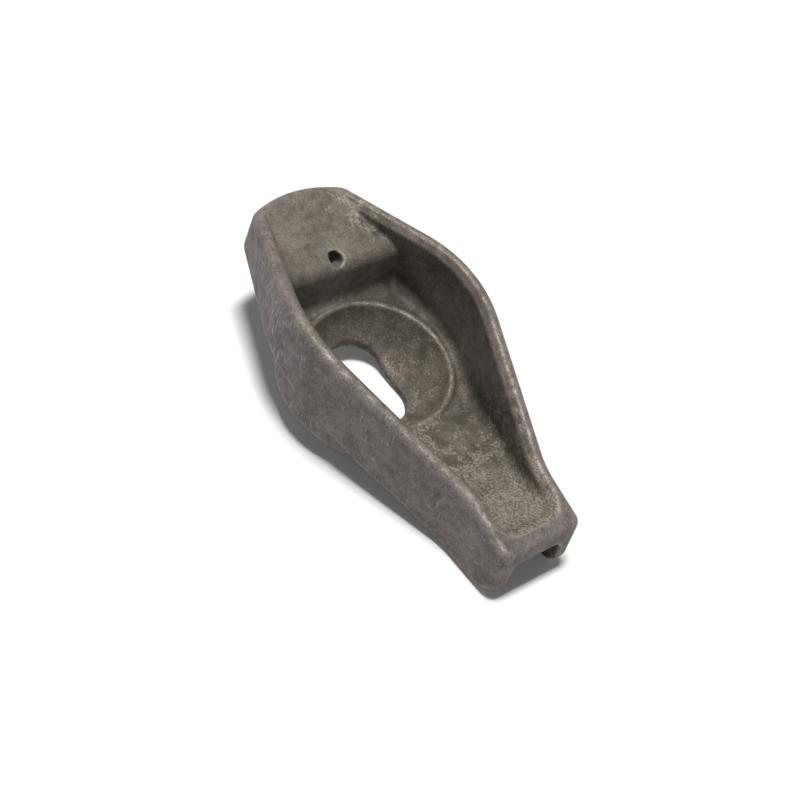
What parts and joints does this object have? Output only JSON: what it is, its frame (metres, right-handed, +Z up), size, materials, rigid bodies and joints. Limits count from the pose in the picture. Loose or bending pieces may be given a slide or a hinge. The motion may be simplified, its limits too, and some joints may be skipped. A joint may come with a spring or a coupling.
{
  "type": "rocker arm",
  "caption": "Forged steel stud-mounted rocker arm: boat-shaped body with a ball seat and stud slot, a pushrod cup at the wide end and a valve pad between two rails at the narrow end.",
  "frame": {"origin": "middle of the footprint, on the surface that the arm rests on", "axes": "+X from the pushrod end to the valve end, +Y across, +Z up; the arm lies as it rests, its stud axis leaning 9.4 degrees from +Z towards +X"},
  "size_m": [0.0692, 0.0326, 0.0222],
  "materials": {
    "rocker_arm": "dark brown-grey oxide over forged steel, fine grain, brighter on the worn rims"
  },
  "bodies": {
    "root": {"rocker_arm": "rocker_arm"}
  },
  "joints": []
}
